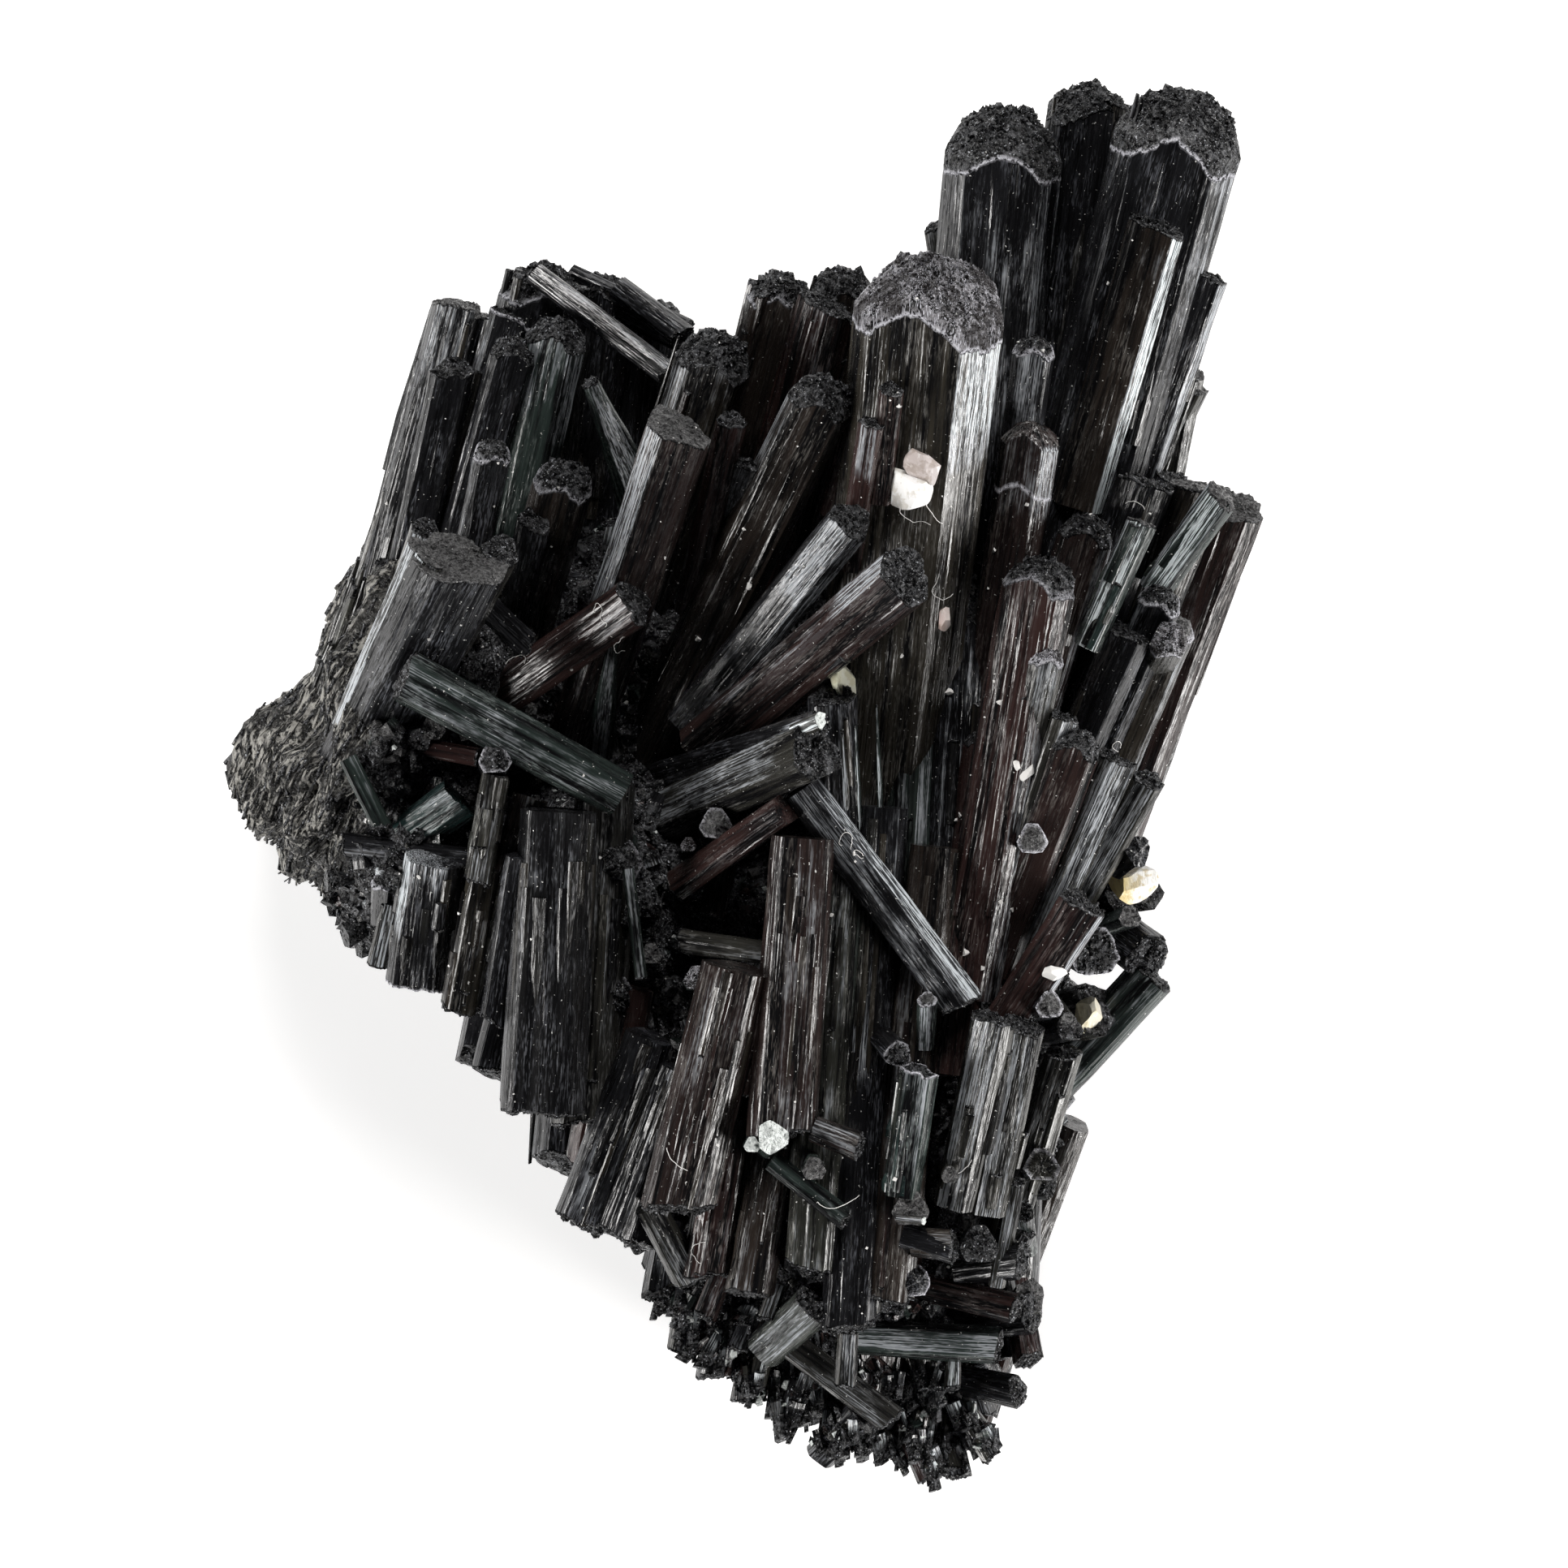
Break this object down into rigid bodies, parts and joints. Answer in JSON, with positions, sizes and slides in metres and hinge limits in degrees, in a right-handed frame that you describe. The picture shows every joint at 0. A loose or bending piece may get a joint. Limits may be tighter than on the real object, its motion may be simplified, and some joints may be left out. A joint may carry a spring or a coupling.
{
  "type": "crystal cluster",
  "caption": "Hand-sized cluster of black schorl: a fan of striated prisms on a crumbled root, with crystals lying across it and pale feldspar grains, flat on its broken back.",
  "frame": {"origin": "middle of the cluster's outline, on the plane of its flat broken back", "axes": "+Z out of the display side, +Y up the display side the way most crystals point, +X to its right"},
  "size_m": [0.0635, 0.0864, 0.0334],
  "materials": {
    "schorl": "glassy faces with fine lengthwise striations, rough grey broken ends",
    "feldspar": "matt white to cream, pearly on cleavages"
  },
  "bodies": {
    "root": {"schorl_cluster": "schorl", "cross_crystal_left": "schorl", "cross_crystal_centre": "schorl", "cross_crystal_upper": "schorl", "cross_crystal_lower": "schorl", "feldspar_grain_white": "feldspar", "feldspar_grain_pale": "feldspar", "feldspar_flake_cream": "feldspar", "feldspar_grain_pink": "feldspar", "feldspar_grain_edge": "feldspar", "feldspar_grain_low": "feldspar"}
  },
  "joints": []
}
